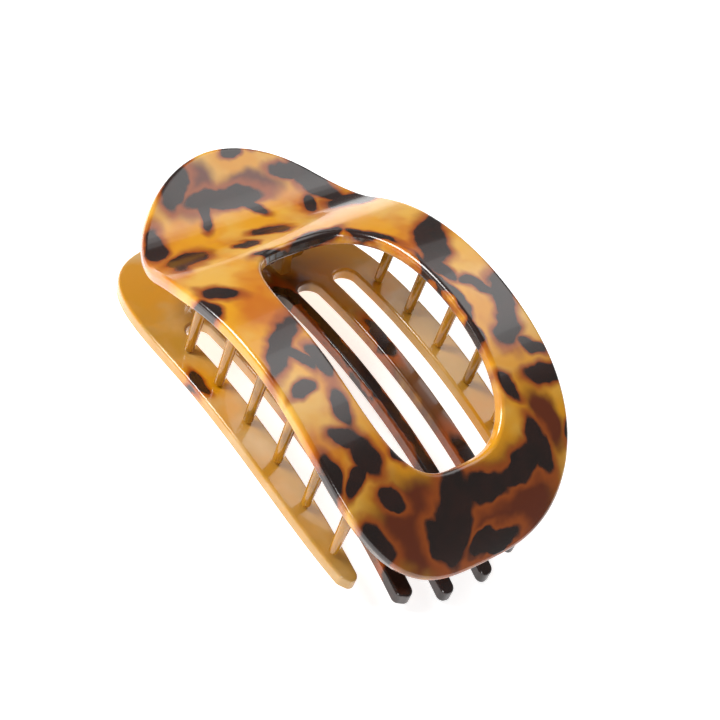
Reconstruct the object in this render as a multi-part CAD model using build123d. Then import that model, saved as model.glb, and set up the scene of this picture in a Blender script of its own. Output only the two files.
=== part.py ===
from build123d import *
import os
from math import acos, cos, degrees, pi, radians, sin, sqrt

# Claw clip for hair. Millimetres, +X to the nose, +Y to the left, +Z up.
# The clip rests on the rear end and the prong tips of its lower jaw.

# upper jaw, a heat-formed sheet with an oval opening
UPPER_THICKNESS = 3.15
ARCH_RADIUS = 59.3
ARCH_CENTRE_X = 4.75
ARCH_CENTRE_Z = -21.6
NOSE_X = 53.8
VALLEY_X = -29.75
VALLEY_RADIUS = 14.0
TAB_SLOPE = -20.2
TAB_END_X = -53.85
RING_HALF_WIDTH = 31.7
NOSE_START_X = 15.8
NOSE_ROUNDNESS = 3.1
TAB_START_X = -20.0
TAB_ROUNDNESS = 1.9
OPENING_REAR_X = -22.0
OPENING_FRONT_X = 39.0
OPENING_HALF_WIDTH = 17.2
OPENING_ROUNDNESS = 3.1
OUTLINE_STEPS = 16
SIDE_STEPS = 6
CUT_MARGIN = 3.0
UPPER_EDGE_ROUND = 1.0

# lower jaw, a comb cut from a thinner sheet
LOWER_THICKNESS = 3.1
LOWER_ARCH_RADIUS = 136.2
LOWER_CENTRE_X = 0.0
LOWER_REAR_X = -53.3
LOWER_FRONT_X = 60.0
LOWER_WIDEST_X = -10.0
LOWER_HALF_WIDTH = 30.7
LOWER_REAR_ROUNDNESS = 3.1
LOWER_FRONT_ROUNDNESS = 3.3
LOWER_EDGE_ROUND = 0.6
SEAM_MATCH = 0.3
UPRIGHT = 0.9

# slots and prong tips of the comb
SLOTS_PER_SIDE = 2
SLOT_REAR_X = -24.0
CENTRE_SLOT_WIDTH = 7.2
SIDE_SLOT_WIDTH = 5.9
SLOT_PITCH = 10.0
SLOT_END_ROUND = 2.8
TIP_ARC_CENTRE_X = 17.1
TIP_ARC_RADIUS = 36.1
TIP_ROUND = 1.5

# pegs under the ring, each with a tenon bonded in a blind socket
PEGS = 6
PEG_FIRST_X = -17.3
PEG_PITCH = 10.75
PEG_Y = 25.8
PEG_TOP_RADIUS = 1.4
PEG_END_RADIUS = 1.05
PEG_END_ROUND = 0.3
PEG_GAP = 0.35
TENON_RADIUS = 0.9
TENON_LENGTH = 1.4
BOND_CLEARANCE = 0.02

# hinge
HINGE_X = -33.0
HINGE_Z = 15.6
PIN_RADIUS = 1.2
RUNNING_CLEARANCE = 0.05
LUG_RADIUS = 3.4
LUG_WIDTH = 2.8
LUG_BASE = 10.0
LOWER_LUG_Y = 8.6
LUG_GAP = 0.3
LUG_EDGE_ROUND = 0.4
HEAD_RADIUS = 2.2
HEAD_THICKNESS = 0.9

# torsion spring
WIRE_RADIUS = 0.55
COIL_RADIUS = 2.5
COIL_PITCH = 1.35
COIL_WHOLE_TURNS = 8
LEG_LENGTH = 12.5
UPPER_LEG_ANGLE = 15.0
LOWER_LEG_ANGLE = 25.0

# worked out from the sizes above
VALLEY_ANGLE = acos((VALLEY_X - ARCH_CENTRE_X) / ARCH_RADIUS)
VALLEY_TURN = degrees(VALLEY_ANGLE) - 90 - TAB_SLOPE
VALLEY_CENTRE_X = ARCH_CENTRE_X + (ARCH_RADIUS + VALLEY_RADIUS) * cos(VALLEY_ANGLE)
VALLEY_CENTRE_Z = ARCH_CENTRE_Z + (ARCH_RADIUS + VALLEY_RADIUS) * sin(VALLEY_ANGLE)
TAB_JOIN_X = VALLEY_CENTRE_X + VALLEY_RADIUS * sin(radians(TAB_SLOPE))
TAB_JOIN_Z = VALLEY_CENTRE_Z - VALLEY_RADIUS * cos(radians(TAB_SLOPE))
LOWER_UNDER_RADIUS = LOWER_ARCH_RADIUS - LOWER_THICKNESS
LOWER_CENTRE_Z = -sqrt(LOWER_UNDER_RADIUS**2 - (LOWER_REAR_X - LOWER_CENTRE_X) ** 2)


def lower_top(x):
    """Height of the lower jaw's top surface."""
    return LOWER_CENTRE_Z + sqrt(LOWER_ARCH_RADIUS**2 - (x - LOWER_CENTRE_X) ** 2)


def upper_point(x, y, rise):
    """Point above the upper jaw's top surface, square to it."""
    if x > VALLEY_X:
        angle = acos((x - ARCH_CENTRE_X) / ARCH_RADIUS)
        reach = ARCH_RADIUS + rise
        return ARCH_CENTRE_X + reach * cos(angle), y, ARCH_CENTRE_Z + reach * sin(angle)
    if x > TAB_JOIN_X:
        angle = acos((x - VALLEY_CENTRE_X) / VALLEY_RADIUS)
        reach = VALLEY_RADIUS - rise
        return VALLEY_CENTRE_X + reach * cos(angle), y, VALLEY_CENTRE_Z - reach * sin(angle)
    fall = sin(radians(TAB_SLOPE))
    level = cos(radians(TAB_SLOPE))
    z = TAB_JOIN_Z + (x - TAB_JOIN_X) * fall / level
    return x - rise * fall, y, z + rise * level


def rounded_end(start, end, half_width, power):
    """Plan points of one rounded end, from its +Y side round to its -Y side."""
    points = []
    for step in range(2 * OUTLINE_STEPS + 1):
        angle = pi * step / (2 * OUTLINE_STEPS)
        along = abs(sin(angle)) ** (2 / power)
        across = abs(cos(angle)) ** (2 / power)
        side = 1 if angle < pi / 2 else -1
        points.append((start + (end - start) * along, side * half_width * across))
    return points


def formed_cut(plan):
    """Face that cuts a plan outline through the upper jaw, square to the sheet."""
    above = Spline(*[upper_point(x, y, CUT_MARGIN) for x, y in plan], periodic=True)
    below = Spline(*[upper_point(x, y, -UPPER_THICKNESS - CUT_MARGIN) for x, y in plan], periodic=True)
    return Face.make_surface_from_curves(above, below)


def side_curve(depth):
    """Side view of the upper jaw at a depth under its top surface, nose to tab."""
    nose_angle = degrees(acos((NOSE_X - ARCH_CENTRE_X) / ARCH_RADIUS)) - 2 * CUT_MARGIN
    sweep_angle = degrees(VALLEY_ANGLE) - nose_angle
    arch = CenterArc((ARCH_CENTRE_X, ARCH_CENTRE_Z), ARCH_RADIUS - depth, nose_angle, sweep_angle)
    valley = JernArc(arch @ 1, arch % 1, VALLEY_RADIUS + depth, -VALLEY_TURN)
    tab = Line(valley @ 1, valley @ 1 + (valley % 1) * (TAB_JOIN_X - TAB_END_X + CUT_MARGIN))
    return [arch, valley, tab]


def solid_at(shape, point):
    """The solid of a cut shape that lies nearest a point."""
    return sorted(shape.solids(), key=lambda solid: solid.distance_to(Vertex(*point)))[0]


# upper jaw sheet
top_curve = side_curve(0)
under_curve = side_curve(UPPER_THICKNESS)
nose_cap = Line(top_curve[0] @ 0, under_curve[0] @ 0)
tab_cap = Line(top_curve[2] @ 1, under_curve[2] @ 1)
sheet_profile = Plane.XZ * make_face(top_curve + under_curve + [nose_cap, tab_cap])
sheet = extrude(sheet_profile, amount=RING_HALF_WIDTH + CUT_MARGIN, both=True)
nose_plan = rounded_end(NOSE_START_X, NOSE_X, RING_HALF_WIDTH, NOSE_ROUNDNESS)
tab_plan = rounded_end(TAB_START_X, TAB_END_X, RING_HALF_WIDTH, TAB_ROUNDNESS)
tab_plan.reverse()
side_step = (TAB_START_X - NOSE_START_X) / SIDE_STEPS
side_x = [NOSE_START_X + side_step * step for step in range(1, SIDE_STEPS)]
right_side = [(x, -RING_HALF_WIDTH) for x in side_x]
left_side = [(x, RING_HALF_WIDTH) for x in reversed(side_x)]
outline = nose_plan[OUTLINE_STEPS:] + right_side + tab_plan + left_side + nose_plan[:OUTLINE_STEPS]
opening_mid = (OPENING_REAR_X + OPENING_FRONT_X) / 2
opening_front = rounded_end(opening_mid, OPENING_FRONT_X, OPENING_HALF_WIDTH, OPENING_ROUNDNESS)
opening_rear = rounded_end(opening_mid, OPENING_REAR_X, OPENING_HALF_WIDTH, OPENING_ROUNDNESS)
opening_rear.reverse()
opening = opening_front[OUTLINE_STEPS:] + opening_rear[1:-1] + opening_front[:OUTLINE_STEPS]
ring_side = upper_point(0, (RING_HALF_WIDTH + OPENING_HALF_WIDTH) / 2, -UPPER_THICKNESS / 2)
blank = solid_at(sheet.split(formed_cut(outline), keep=Keep.ALL), ring_side)
upper_jaw = solid_at(blank.split(formed_cut(opening), keep=Keep.ALL), ring_side)


def rims(part, thickness):
    """Edges that run round a sheet's outlines, without its seams."""
    curved = [edge for edge in part.edges() if edge.geom_type != GeomType.LINE]
    return [edge for edge in curved if abs(edge.length - thickness) > SEAM_MATCH]


upper_jaw = fillet(rims(upper_jaw, UPPER_THICKNESS), UPPER_EDGE_ROUND)

# lower jaw sheet
rear_plan = rounded_end(LOWER_WIDEST_X, LOWER_REAR_X, LOWER_HALF_WIDTH, LOWER_REAR_ROUNDNESS)
front_plan = rounded_end(LOWER_WIDEST_X, LOWER_FRONT_X, LOWER_HALF_WIDTH, LOWER_FRONT_ROUNDNESS)
rear_plan.reverse()
lower_plan = front_plan[OUTLINE_STEPS:] + rear_plan[1:-1] + front_plan[:OUTLINE_STEPS]
comb = make_face(Spline(*lower_plan, periodic=True))
front_room = 2 * LOWER_FRONT_X
front_half = Pos(TIP_ARC_CENTRE_X + front_room / 2, 0) * Rectangle(front_room, front_room)
comb -= front_half - Pos(TIP_ARC_CENTRE_X, 0) * Circle(TIP_ARC_RADIUS)
for step in range(-SLOTS_PER_SIDE, SLOTS_PER_SIDE + 1):
    slot_y = SLOT_PITCH * step
    slot_width = SIDE_SLOT_WIDTH if step else CENTRE_SLOT_WIDTH
    slot_mid_x = (SLOT_REAR_X + LOWER_FRONT_X) / 2
    slot = Pos(slot_mid_x, slot_y) * Rectangle(LOWER_FRONT_X - SLOT_REAR_X, slot_width)
    comb -= fillet(slot.vertices().sort_by(Axis.X)[:2], SLOT_END_ROUND)
tip_corners = [vertex for vertex in comb.vertices() if vertex.X > TIP_ARC_CENTRE_X]
comb = fillet(tip_corners, TIP_ROUND)
lower_outer = Plane.XZ * Pos(LOWER_CENTRE_X, LOWER_CENTRE_Z) * Circle(LOWER_ARCH_RADIUS)
lower_inner = Plane.XZ * Pos(LOWER_CENTRE_X, LOWER_CENTRE_Z) * Circle(LOWER_UNDER_RADIUS)
lower_sheet = extrude(lower_outer - lower_inner, amount=RING_HALF_WIDTH + CUT_MARGIN, both=True)
comb_block = extrude(comb, amount=HINGE_Z, both=True)
lower_jaw = solid_at(comb_block & lower_sheet, (HINGE_X, 0, lower_top(HINGE_X)))
lower_flanks = [edge for edge in lower_jaw.edges() if abs(edge.tangent_at(0.5).Z) < UPRIGHT]
lower_jaw = fillet(lower_flanks, LOWER_EDGE_ROUND)

# pegs and the sockets their tenons sit in
peg_x = [PEG_FIRST_X + PEG_PITCH * step for step in range(PEGS)]
pegs = {}
sockets = []
for side, name in ((1, "left"), (-1, "right")):
    for number, x in enumerate(peg_x, start=1):
        toward_crown = PEG_END_RADIUS if x < LOWER_CENTRE_X else -PEG_END_RADIUS
        foot = lower_top(x + toward_crown) + PEG_GAP
        under_arch = ARCH_RADIUS - UPPER_THICKNESS
        crown_z = ARCH_CENTRE_Z + sqrt(under_arch**2 - (x - ARCH_CENTRE_X) ** 2)
        length = crown_z + PEG_TOP_RADIUS - foot
        rod = Pos(x, side * PEG_Y, foot + length / 2) * Cone(PEG_END_RADIUS, PEG_TOP_RADIUS, length)
        rod = fillet(rod.edges().sort_by(Axis.Z)[0], PEG_END_ROUND) - sheet
        rod = solid_at(rod, (x, side * PEG_Y, foot))
        tenon_height = 2 * TENON_LENGTH
        socket = Pos(x, side * PEG_Y, crown_z) * Cylinder(TENON_RADIUS + BOND_CLEARANCE, tenon_height)
        tenon = Pos(x, side * PEG_Y, crown_z - BOND_CLEARANCE) * Cylinder(TENON_RADIUS, tenon_height)
        sockets.append(socket)
        pegs[f"{name}_peg_{number}"] = rod + tenon
upper_jaw = upper_jaw - sockets

# hinge lugs, pin and cap
upper_lug_y = LOWER_LUG_Y + LUG_WIDTH + LUG_GAP


def lug(side, mid_y, base_z, jaw, bore_radius):
    """Block bonded to a jaw, carrying the hinge pin."""
    corners = [(HINGE_X - LUG_BASE / 2, base_z), (HINGE_X + LUG_BASE / 2, base_z)]
    corners += [(HINGE_X + LUG_RADIUS, HINGE_Z), (HINGE_X - LUG_RADIUS, HINGE_Z)]
    profile = make_face(Polyline(corners, close=True)) + Pos(HINGE_X, HINGE_Z) * Circle(LUG_RADIUS)
    block = extrude(Plane.XZ * profile, amount=LUG_WIDTH / 2, both=True)
    cheeks = block.faces().sort_by(Axis.Y)
    block = fillet(cheeks[0].edges() + cheeks[-1].edges(), LUG_EDGE_ROUND)
    block = Pos(0, side * mid_y, 0) * block
    bore = Pos(HINGE_X, side * mid_y, HINGE_Z) * Rot(90, 0, 0) * Cylinder(bore_radius, 2 * LUG_WIDTH)
    return solid_at(block - jaw - bore, (HINGE_X, side * mid_y, HINGE_Z))


under_tab = upper_point(HINGE_X, 0, -UPPER_THICKNESS)[2]
nodes = {"upper_jaw": upper_jaw, "lower_jaw": lower_jaw}
nodes.update(pegs)
for side, name in ((1, "left"), (-1, "right")):
    lower_base = lower_top(HINGE_X) - LOWER_THICKNESS / 2
    upper_base = under_tab + UPPER_THICKNESS
    nodes[f"lower_lug_{name}"] = lug(side, LOWER_LUG_Y, lower_base, lower_sheet, PIN_RADIUS + BOND_CLEARANCE)
    nodes[f"upper_lug_{name}"] = lug(side, upper_lug_y, upper_base, sheet, PIN_RADIUS + RUNNING_CLEARANCE)
shoulder_y = upper_lug_y + LUG_WIDTH / 2 + LUG_GAP
pin_end_y = shoulder_y + HEAD_THICKNESS
pin = Pos(HINGE_X, 0, HINGE_Z) * Rot(90, 0, 0) * Cylinder(PIN_RADIUS, 2 * pin_end_y)
head_mid_y = shoulder_y + HEAD_THICKNESS / 2
head = Pos(HINGE_X, head_mid_y, HINGE_Z) * Rot(90, 0, 0) * Cylinder(HEAD_RADIUS, HEAD_THICKNESS)
cap_place = Pos(HINGE_X, -head_mid_y, HINGE_Z) * Rot(90, 0, 0)
cap = cap_place * Cylinder(HEAD_RADIUS, HEAD_THICKNESS)
cap_bore = cap_place * Cylinder(PIN_RADIUS + BOND_CLEARANCE, 2 * HEAD_THICKNESS)
nodes["hinge_pin"] = fillet((pin + head).edges().sort_by(Axis.Y)[-1], HEAD_THICKNESS / 3)
nodes["pin_cap"] = cap - cap_bore

# torsion spring round the pin, both legs reaching back to the jaws
coil_start = LOWER_LEG_ANGLE - 90
coil_turns = COIL_WHOLE_TURNS + (180 - UPPER_LEG_ANGLE - LOWER_LEG_ANGLE) / 360
coil_height = COIL_PITCH * coil_turns
coil_frame = Plane.XZ.location * Pos(HINGE_X, HINGE_Z, -coil_height / 2) * Rot(0, 0, coil_start)
coil = coil_frame * Helix(COIL_PITCH, coil_height, COIL_RADIUS)
lower_leg = Line(coil @ 0 - (coil % 0) * LEG_LENGTH, coil @ 0)
upper_leg = Line(coil @ 1, coil @ 1 + (coil % 1) * LEG_LENGTH)
wire = Wire([lower_leg, coil, upper_leg])
section = Plane(origin=wire @ 0, z_dir=wire % 0) * Circle(WIRE_RADIUS)
nodes["torsion_spring"] = sweep(section, path=wire, is_frenet=False)

# stand the closed clip on the origin, centred along its length
low_z = lower_jaw.bounding_box().min.Z
mid_x = (upper_jaw.bounding_box().min.X + upper_jaw.bounding_box().max.X) / 2
os.makedirs("parts", exist_ok=True)
for name, node in nodes.items():
    export_step(Pos(-mid_x, 0, -low_z) * node, f"parts/{name}.step")
print("hinge axis at", HINGE_X - mid_x, HINGE_Z - low_z)
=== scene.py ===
"""Claw clip for hair: finishes, spring, camera and studio."""
import math

import bmesh
import bpy
from mathutils import Matrix, Vector


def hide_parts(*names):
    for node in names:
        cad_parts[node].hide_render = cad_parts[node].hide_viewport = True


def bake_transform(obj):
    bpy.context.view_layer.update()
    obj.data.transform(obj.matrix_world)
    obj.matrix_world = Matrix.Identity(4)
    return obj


bl_info = {
    "name": "Claw Clip Finishes",
    "version": (1, 0, 0),
    "blender": (4, 5, 0),
    "location": "View3D > Sidebar > Claw Clip",
    "description": "Tortoise sheet, amber rods, steel hinge parts and a plain studio for a claw clip",
    "category": "Object",
}

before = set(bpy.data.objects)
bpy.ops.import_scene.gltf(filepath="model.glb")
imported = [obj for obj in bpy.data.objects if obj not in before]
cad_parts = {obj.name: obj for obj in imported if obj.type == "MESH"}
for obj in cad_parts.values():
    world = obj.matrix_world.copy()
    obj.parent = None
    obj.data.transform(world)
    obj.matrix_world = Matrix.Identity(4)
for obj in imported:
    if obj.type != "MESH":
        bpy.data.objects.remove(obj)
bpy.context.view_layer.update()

# blotches, and on the ring some strips of painted shade, as (x, y, length, width, turn) in millimetres and
# degrees, seen from above;
# x to the nose, y to the left
RING_BLOTCHES_AND_RIM_SHADE = (
    (-39, 21, 15, 6.5, 25),
    (-44, 16, 9, 3.5, 70),
    (-34, 16, 7, 3, -40),
    (-51, 12, 6, 3, 75),
    (-52, 5, 5, 3, 100),
    (-42.5, -2, 20, 5, 82),
    (-39, 3, 8, 3, 30),
    (-39.5, -9, 8, 3, -25),
    (-48, -12, 11, 6, -48),
    (-53, -7, 5, 3, 90),
    (-37, -24, 10, 5, -30),
    (-31, 25, 13, 5, 85),
    (-28.5, -22, 11, 6, -70),
    (-30, 1, 8, 3.5, 80),
    (-27, -8, 5, 3, 90),
    # the next four are painted shade: dark strips along the rear and left rim of the opening, where its inner
    # wall falls dark
    (-21, 5, 13, 3.5, 95),
    (-20, -5, 12, 3, 85),
    (-15, 14.5, 12, 2.6, 35),
    (6, 17.7, 24, 1.6, 0),
    (-13, -26.5, 8, 4.6, 50),
    (-10, -31, 6, 3, 0),
    (5, -24.5, 18, 4.6, -42),
    (11.5, -19.6, 9.5, 3.6, 0),
    (9, -23, 8, 3, 20),
    (15.5, -26.5, 6, 3, -70),
    (22, -21, 8.5, 4, -8),
    (31, -21.5, 10, 5, 20),
    (35, -25.5, 8, 3, -60),
    (27.5, -24, 7, 3.4, 55),
    (33.5, -14, 4, 3, 70),
    (32, -30.5, 7.5, 4, 0),
    (-6, 24, 18, 7, -40),
    (-11, 28.5, 9, 4, -60),
    (2, 20.5, 7, 3.5, 20),
    (14, 28, 17, 5, -22),
    (8, 25, 8, 3, 40),
    (24.5, 28.5, 6, 3, 60),
    (20.5, 24.5, 7, 5, -70),
    (30.5, 28, 10, 4.5, 75),
    (30, 18.2, 7, 3.2, 25),
    # painted shade: the next two are thin dark strips along the left rim of the opening
    (9, 18.2, 10, 2.6, 0),
    (17.5, 17.2, 5, 2.4, 0),
    (41, 29, 5, 2.4, -30),
    (41.5, 20, 10, 5, 20),
    (43.5, 14, 12, 5, 95),
    (46, -6, 15, 9, -28),
    (49, -9, 10, 6, 60),
    (44.5, 4, 12, 6, 90),
    (52, 3, 14, 3.5, 88),
    (45, -25, 9, 5, 50),
    (40, -19, 7, 3.5, 60),
)
RING_RED_PATCHES = (
    (48, 8, 36, 19, 92),
    (46, -13, 30, 18, 75),
    (-46, -8, 16, 10, -50),
    (-43, 6, 18, 8, 80),
    (38, 24, 14, 8, 20),
)
COMB_BLOTCHES = (
    (2, 5.4, 50, 3.4, 0),
    (38, 5.4, 30, 5, 0),
    (36, 15, 22, 5, 0),
    (-2, 15, 12, 3.4, 0),
    (47, 15, 12, 7, 0),
    (51, 5.4, 12, 7, 0),
    (30, -5.4, 30, 4.5, 0),
    (51, -5.4, 12, 7, 0),
    (20, -15, 26, 4.5, 0),
    (49, -15, 9, 6, 0),
    (-22, 4, 9, 5, 20),
    (-8, -29, 7, 2.4, 0),
)
COMB_RED_PATCHES = (
    (14, 5.4, 92, 11, 0),
    (26, 15, 84, 8, 0),
    (24, -5.4, 78, 8, 0),
    (40, -15, 50, 8, 0),
    (-22, 6, 16, 14, 0),
)


class ClipColours(bpy.types.PropertyGroup):
    """Colours of the clip's plastic and metal."""

    honey: bpy.props.FloatVectorProperty(
        name="Honey", description="Clear yellow ground of the tortoise sheet", subtype="COLOR",
        size=3, min=0, max=1, default=(0.72, 0.31, 0.006))
    cream: bpy.props.FloatVectorProperty(
        name="Cream", description="Paler clouds in the ground", subtype="COLOR",
        size=3, min=0, max=1, default=(0.74, 0.40, 0.06))
    russet: bpy.props.FloatVectorProperty(
        name="Russet", description="Orange clouds between the blotches", subtype="COLOR",
        size=3, min=0, max=1, default=(0.55, 0.15, 0.005))
    # chestnut and ink also colour the strips of painted shade along the rim of the ring's opening
    chestnut: bpy.props.FloatVectorProperty(
        name="Chestnut", description="Red-brown rim that bleeds round each blotch", subtype="COLOR",
        size=3, min=0, max=1, default=(0.33, 0.066, 0.004))
    ink: bpy.props.FloatVectorProperty(
        name="Ink", description="Dark heart of each blotch", subtype="COLOR",
        size=3, min=0, max=1, default=(0.014, 0.006, 0.004))
    amber: bpy.props.FloatVectorProperty(
        name="Amber", description="Rods and lugs", subtype="COLOR",
        size=3, min=0, max=1, default=(0.56, 0.26, 0.022))
    steel: bpy.props.FloatVectorProperty(
        name="Steel", description="Pin, cap and spring wire", subtype="COLOR",
        size=3, min=0, max=1, default=(0.58, 0.57, 0.55))


class ClipSizes(bpy.types.PropertyGroup):
    """Sizes of the pattern and the studio."""

    bleed: bpy.props.FloatProperty(
        name="Bleed", description="How far the edges of the blotches wander",
        default=0.0026, min=0, subtype="DISTANCE", unit="LENGTH")
    grain: bpy.props.FloatProperty(
        name="Grain", description="Size of the clouds in the ground",
        default=0.014, min=0.001, subtype="DISTANCE", unit="LENGTH")
    floor_size: bpy.props.FloatProperty(
        name="Floor size", description="Side of the square floor",
        default=6.0, min=0.5, subtype="DISTANCE", unit="LENGTH")
    camera_distance: bpy.props.FloatProperty(
        name="Camera distance", description="From the lens to the middle of the clip",
        default=0.4222, min=0.1, subtype="DISTANCE", unit="LENGTH")


def new_material(name, metallic=0.0, roughness=0.1, coat=0.0, subsurface=0.0, transmission=0.0):
    """A material with one Principled shader whose even values are set on its sockets."""
    material = bpy.data.materials.new(name)
    material.use_nodes = True
    shader = material.node_tree.nodes["Principled BSDF"]
    shader.inputs["Metallic"].default_value = metallic
    shader.inputs["Roughness"].default_value = roughness
    shader.inputs["Coat Weight"].default_value = coat
    shader.inputs["Coat Roughness"].default_value = 0.05
    shader.inputs["IOR"].default_value = 1.49
    shader.inputs["Subsurface Weight"].default_value = subsurface
    shader.inputs["Subsurface Radius"].default_value = (1.0, 0.5, 0.12)
    shader.inputs["Subsurface Scale"].default_value = 0.0012
    shader.inputs["Transmission Weight"].default_value = transmission
    return material, shader


def mix_colours(tree, low, high, factor):
    """Mix node from one colour to another."""
    mix = tree.nodes.new("ShaderNodeMix")
    mix.data_type = "RGBA"
    for socket, value in ((mix.inputs[6], low), (mix.inputs[7], high)):
        if isinstance(value, bpy.types.NodeSocket):
            tree.links.new(value, socket)
        else:
            socket.default_value = (*value, 1.0)
    tree.links.new(factor, mix.inputs[0])
    return mix.outputs[2]


def smooth_range(tree, value, start, end):
    """0 to 1 as the value goes from start to end."""
    fade = tree.nodes.new("ShaderNodeMapRange")
    fade.interpolation_type = "SMOOTHSTEP"
    fade.inputs["From Min"].default_value = start
    fade.inputs["From Max"].default_value = end
    tree.links.new(value, fade.inputs["Value"])
    return fade.outputs["Result"]


def wandering_place(tree, wander, scale, detail):
    """Object coordinates pushed about by noise."""
    place = tree.nodes.new("ShaderNodeTexCoord").outputs["Object"]
    noise = tree.nodes.new("ShaderNodeTexNoise")
    noise.inputs["Scale"].default_value = scale
    noise.inputs["Detail"].default_value = detail
    noise.inputs["Roughness"].default_value = 0.5
    tree.links.new(place, noise.inputs["Vector"])
    centre = tree.nodes.new("ShaderNodeVectorMath")
    centre.operation = "SUBTRACT"
    centre.inputs[1].default_value = (0.5, 0.5, 0.5)
    tree.links.new(noise.outputs["Color"], centre.inputs[0])
    push = tree.nodes.new("ShaderNodeVectorMath")
    push.operation = "MULTIPLY_ADD"
    push.inputs[1].default_value = (wander * 2, wander * 2, wander * 2)
    tree.links.new(centre.outputs["Vector"], push.inputs[0])
    tree.links.new(place, push.inputs[2])
    return push.outputs["Vector"]


def nearness(tree, place, blotches):
    """Smallest distance to any blotch, where 1 is its edge."""
    nearest = None
    for x, y, length, width, turn in blotches:
        fit = tree.nodes.new("ShaderNodeMapping")
        fit.vector_type = "TEXTURE"
        fit.inputs["Location"].default_value = (x / 1000, y / 1000, 0)
        fit.inputs["Rotation"].default_value = (0, 0, math.radians(turn))
        fit.inputs["Scale"].default_value = (length / 2000, width / 2000, 10.0)
        tree.links.new(place, fit.inputs["Vector"])
        reach = tree.nodes.new("ShaderNodeVectorMath")
        reach.operation = "LENGTH"
        tree.links.new(fit.outputs["Vector"], reach.inputs[0])
        if nearest is None:
            nearest = reach.outputs["Value"]
            continue
        least = tree.nodes.new("ShaderNodeMath")
        least.operation = "SMOOTH_MIN"
        least.inputs[2].default_value = 0.25
        tree.links.new(nearest, least.inputs[0])
        tree.links.new(reach.outputs["Value"], least.inputs[1])
        nearest = least.outputs["Value"]
    return nearest


def cloud(tree, place, scale, detail, low, high):
    """Soft noise from 0 to 1."""
    noise = tree.nodes.new("ShaderNodeTexNoise")
    noise.inputs["Scale"].default_value = scale
    noise.inputs["Detail"].default_value = detail
    tree.links.new(place, noise.inputs["Vector"])
    return smooth_range(tree, noise.outputs["Fac"], low, high)


def tortoise(name, blotches, red_patches, ground, pale, clouds, rust):
    """Through-coloured tortoise sheet, polished."""
    colours, sizes = bpy.context.scene.clip_colours, bpy.context.scene.clip_sizes
    material, shader = new_material(name, roughness=0.22, coat=0.6, subsurface=0.12)
    tree = material.node_tree
    place = wandering_place(tree, sizes.bleed, 140, 2.5)
    base = mix_colours(tree, ground, pale, cloud(tree, place, 1 / sizes.grain, 2, 0.40, 0.62))
    base = mix_colours(tree, base, clouds, cloud(tree, place, 0.8 / sizes.grain, 3, 0.46, 0.70))
    fine = cloud(tree, place, 180, 2, 0.3, 0.7)
    warm = mix_colours(tree, base, rust, smooth_range(tree, nearness(tree, place, red_patches), 1.15, 0.55))
    # on the ring, near also measures the strips of painted shade along the opening's rim, which get the same
    # chestnut and ink
    near = nearness(tree, place, blotches)
    bled = mix_colours(tree, warm, colours.chestnut, smooth_range(tree, near, 1.75, 1.0))
    heart = mix_colours(tree, colours.ink, (0.026, 0.008, 0.005), fine)
    inked = mix_colours(tree, bled, heart, smooth_range(tree, near, 1.12, 0.86))
    tree.links.new(inked, shader.inputs["Base Color"])
    return material


def amber_plastic(name, subsurface, transmission):
    """Clear amber rod or block."""
    colours = bpy.context.scene.clip_colours
    material, shader = new_material(
        name, roughness=0.1, coat=0.6, subsurface=subsurface, transmission=transmission)
    tree = material.node_tree
    place = wandering_place(tree, 0.003, 120, 2)
    darker = tuple(part * 0.55 for part in colours.amber)
    shade = cloud(tree, place, 110, 2, 0.42, 0.68)
    tree.links.new(mix_colours(tree, colours.amber, darker, shade), shader.inputs["Base Color"])
    return material


def bright_steel(name, roughness):
    """Steel with fine drawn marks."""
    colours = bpy.context.scene.clip_colours
    material, shader = new_material(name, metallic=1.0, roughness=roughness)
    tree = material.node_tree
    place = wandering_place(tree, 0.0002, 900, 2)
    worn = tuple(part * 0.72 for part in colours.steel)
    marks = cloud(tree, place, 1600, 4, 0.35, 0.7)
    tree.links.new(mix_colours(tree, colours.steel, worn, marks), shader.inputs["Base Color"])
    low = tree.nodes.new("ShaderNodeMapRange")
    low.inputs["To Min"].default_value = roughness
    low.inputs["To Max"].default_value = roughness + 0.16
    tree.links.new(marks, low.inputs["Value"])
    tree.links.new(low.outputs["Result"], shader.inputs["Roughness"])
    return material


def paint(node, material):
    """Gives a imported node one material."""
    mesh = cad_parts[node].data
    mesh.materials.clear()
    mesh.materials.append(material)


class CLIP_OT_ring_jaw(bpy.types.Operator):
    """Finish the ring jaw with its thumb tab"""

    bl_idname = "clip.ring_jaw"
    bl_label = "Ring jaw"

    def execute(self, context):
        colours = context.scene.clip_colours
        nose_rust = (0.13, 0.021, 0.002)
        sheet = tortoise(
            "tortoise_ring", RING_BLOTCHES_AND_RIM_SHADE, RING_RED_PATCHES,
            colours.honey, colours.cream, colours.russet, nose_rust)
        paint("upper_jaw", sheet)
        return {"FINISHED"}


class CLIP_OT_comb_jaw(bpy.types.Operator):
    """Finish the comb jaw"""

    bl_idname = "clip.comb_jaw"
    bl_label = "Comb jaw"

    def execute(self, context):
        colours = context.scene.clip_colours
        ground = tuple(part * 0.78 for part in colours.honey)
        pale = (0.56, 0.33, 0.11)
        olive = (0.44, 0.23, 0.03)
        prong_brown = (0.13, 0.042, 0.008)
        sheet = tortoise(
            "tortoise_comb", COMB_BLOTCHES, COMB_RED_PATCHES,
            ground, pale, olive, prong_brown)
        paint("lower_jaw", sheet)
        return {"FINISHED"}


class CLIP_OT_pegs(bpy.types.Operator):
    """Finish the two rows of pegs"""

    bl_idname = "clip.pegs"
    bl_label = "Pegs"

    def execute(self, context):
        rod = amber_plastic("amber_rod", 0.2, 0.35)
        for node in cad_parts:
            if "_peg_" in node:
                paint(node, rod)
        return {"FINISHED"}


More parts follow.
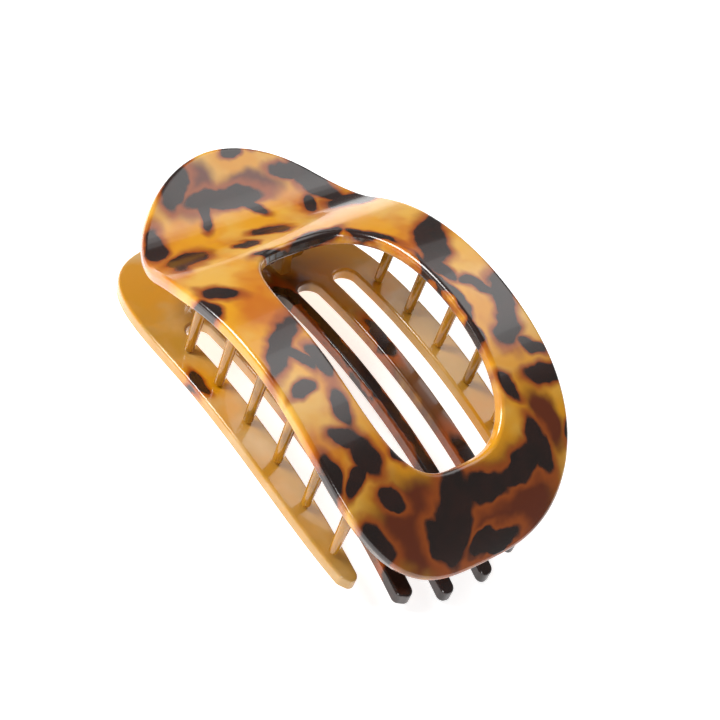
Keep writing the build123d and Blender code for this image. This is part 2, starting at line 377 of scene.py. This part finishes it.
class CLIP_OT_hinge(bpy.types.Operator):
    """Finish the lugs, the pin and its cap"""

    bl_idname = "clip.hinge"
    bl_label = "Hinge"

    def execute(self, context):
        block = amber_plastic("amber_lug", 0.2, 0.1)
        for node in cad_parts:
            if "_lug_" in node:
                paint(node, block)
        steel = bright_steel("steel_pin", 0.22)
        paint("hinge_pin", steel)
        paint("pin_cap", steel)
        return {"FINISHED"}


class CLIP_OT_spring(bpy.types.Operator):
    """Make the wire spring as a smoothed copy of the CAD spring; it keeps one pose"""

    bl_idname = "clip.spring"
    bl_label = "Spring"

    def execute(self, context):
        shape = bmesh.new()
        shape.from_mesh(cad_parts["torsion_spring"].data)
        bmesh.ops.remove_doubles(shape, verts=shape.verts, dist=1e-6)
        for face in shape.faces:
            face.smooth = True
        mesh = bpy.data.meshes.new("wire_spring")
        shape.to_mesh(mesh)
        shape.free()
        mesh.materials.clear()
        mesh.materials.append(bright_steel("steel_wire", 0.28))
        spring = bpy.data.objects.new("wire_spring", mesh)
        context.scene.collection.objects.link(spring)
        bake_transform(spring)
        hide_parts("torsion_spring")
        return {"FINISHED"}


def soft_light(name, place, target, size, power, colour=(1, 1, 1)):
    """Square area light aimed at a point."""
    lamp = bpy.data.lights.new(name, "AREA")
    lamp.shape = "RECTANGLE"
    lamp.size, lamp.size_y = size
    lamp.energy = power
    lamp.color = colour
    light = bpy.data.objects.new(name, lamp)
    light.location = place
    light.rotation_euler = (Vector(target) - Vector(place)).to_track_quat("-Z", "Y").to_euler()
    bpy.context.scene.collection.objects.link(light)


class CLIP_OT_stage(bpy.types.Operator):
    """Set the floor, the studio light and the camera"""

    bl_idname = "clip.stage"
    bl_label = "Stage"

    def execute(self, context):
        scene, sizes = context.scene, context.scene.clip_sizes
        shape = bmesh.new()
        bmesh.ops.create_grid(shape, x_segments=1, y_segments=1, size=sizes.floor_size / 2)
        bmesh.ops.translate(shape, verts=shape.verts, vec=(0, 0, -0.0002))
        mesh = bpy.data.meshes.new("floor")
        shape.to_mesh(mesh)
        shape.free()
        floor = bpy.data.objects.new("floor", mesh)
        scene.collection.objects.link(floor)
        paper, shader = new_material("pale_paper", roughness=0.9)
        shader.inputs["Base Color"].default_value = (0.93, 0.93, 0.93, 1)
        shader.inputs["Specular IOR Level"].default_value = 0.0
        shader.inputs["Emission Color"].default_value = (1, 1, 1, 1)
        shader.inputs["Emission Strength"].default_value = 0.7
        mesh.materials.append(paper)

        world = bpy.data.worlds.new("studio")
        world.use_nodes = True
        sky = world.node_tree.nodes["Background"]
        sky.inputs["Color"].default_value = (1.0, 1.0, 1.0, 1)
        sky.inputs["Strength"].default_value = 0.18
        scene.world = world
        middle = (0, 0, 0.018)
        panels = ((0.36, 0.28, 0.26), (0.56, 0.44, 0.55), (0.80, 0.64, 1.0))
        for number, (width, depth, power) in enumerate(panels):
            rise = 1 + 0.01 * number
            place = Vector((-0.16, 0.46, 0.63)) * rise
            soft_light(f"overhead_{number}", place, middle, (width, depth), power)
        soft_light("key", (-0.45, -0.45, 0.50), middle, (0.35, 0.35), 7.0)
        soft_light("fill", (0.62, -0.50, 0.40), middle, (0.20, 0.30), 1.8)

        around, above, roll = math.radians(-52.9), math.radians(45.6), math.radians(22.1)
        back = Vector((math.cos(above) * math.cos(around), math.cos(above) * math.sin(around), math.sin(above)))
        level = Vector((-math.sin(around), math.cos(around), 0))
        upright = back.cross(level)
        across = math.cos(roll) * level + math.sin(roll) * upright
        upward = math.cos(roll) * upright - math.sin(roll) * level
        lens = bpy.data.cameras.new("camera")
        lens.sensor_width = 36
        lens.lens = 100.7
        lens.shift_x, lens.shift_y = 0.0294, -0.0054
        lens.clip_start, lens.clip_end = 0.01, 50
        camera = bpy.data.objects.new("camera", lens)
        spot = Vector((0.000624, 0, 0.017686)) + back * sizes.camera_distance
        turn = Matrix((across, upward, back)).transposed()
        camera.matrix_world = Matrix.Translation(spot) @ turn.to_4x4()
        scene.collection.objects.link(camera)
        scene.camera = camera
        scene.view_settings.view_transform = "Standard"
        return {"FINISHED"}


OPERATORS = (
    CLIP_OT_ring_jaw,
    CLIP_OT_comb_jaw,
    CLIP_OT_pegs,
    CLIP_OT_hinge,
    CLIP_OT_spring,
    CLIP_OT_stage,
)


class CLIP_PT_panel(bpy.types.Panel):
    """Claw clip tools"""

    bl_idname = "CLIP_PT_panel"
    bl_label = "Claw Clip"
    bl_space_type = "VIEW_3D"
    bl_region_type = "UI"
    bl_category = "Claw Clip"

    def draw(self, context):
        for group in (context.scene.clip_colours, context.scene.clip_sizes):
            for name in group.__annotations__:
                self.layout.prop(group, name)
        for operator in OPERATORS:
            self.layout.operator(operator.bl_idname)


CLASSES = (ClipColours, ClipSizes, *OPERATORS, CLIP_PT_panel)


def register():
    """Adds the classes and the scene's settings."""
    for cls in CLASSES:
        bpy.utils.register_class(cls)
    bpy.types.Scene.clip_colours = bpy.props.PointerProperty(type=ClipColours)
    bpy.types.Scene.clip_sizes = bpy.props.PointerProperty(type=ClipSizes)


def unregister():
    """Removes what register added."""
    del bpy.types.Scene.clip_sizes
    del bpy.types.Scene.clip_colours
    for cls in reversed(CLASSES):
        bpy.utils.unregister_class(cls)


def main():
    """Registers and builds every piece in order."""
    register()
    bpy.ops.clip.ring_jaw()
    bpy.ops.clip.comb_jaw()
    bpy.ops.clip.pegs()
    bpy.ops.clip.hinge()
    bpy.ops.clip.spring()
    bpy.ops.clip.stage()


if __name__ == "__main__":
    main()
